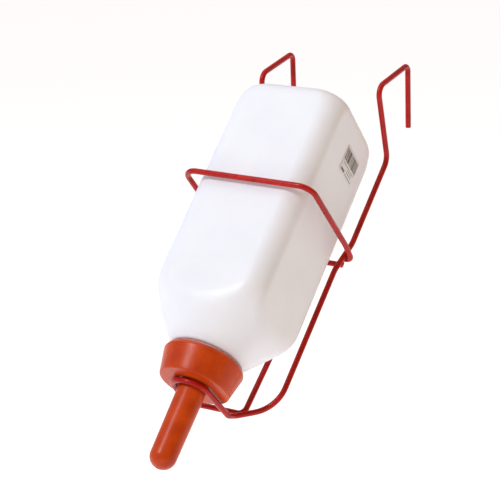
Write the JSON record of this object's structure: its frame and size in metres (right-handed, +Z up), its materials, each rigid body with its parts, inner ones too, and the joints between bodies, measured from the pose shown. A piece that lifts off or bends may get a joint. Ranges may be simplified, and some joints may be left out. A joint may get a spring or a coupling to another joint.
{
  "type": "nursing bottle in a hanging wire rack",
  "caption": "Square milk bottle with a rubber teat, held neck-down in a coated wire rack whose hooks hang on a board's top edge.",
  "frame": {"origin": "the board's front top edge, midway between the two hooks", "axes": "+X along the board, +Y through the board away from the animal, +Z up"},
  "size_m": [0.1298, 0.3556, 0.265],
  "materials": {
    "wire": "gloss",
    "milk_jug_plastic": "satin",
    "rubber": "satin",
    "sticker": "matt"
  },
  "bodies": {
    "rack": {"hanger_wire": "wire", "backrest_wire": "wire"},
    "bail": {"bail_wire": "wire"},
    "bottle": {"bottle": "milk_jug_plastic", "nipple": "rubber", "label": "sticker"}
  },
  "joints": [
    {"name": "bail_swing", "type": "hinge", "parent": "rack", "child": "bail", "pos_m": [0, -0.08265, -0.13515], "axis": [1, 0, 0], "range_deg": [-11, 11]},
    {"name": "bottle_lift", "type": "slide", "parent": "rack", "child": "bottle", "axis": [-0.0105, 0.7804, 0.6252], "range_m": [0, 0.27]}
  ]
}
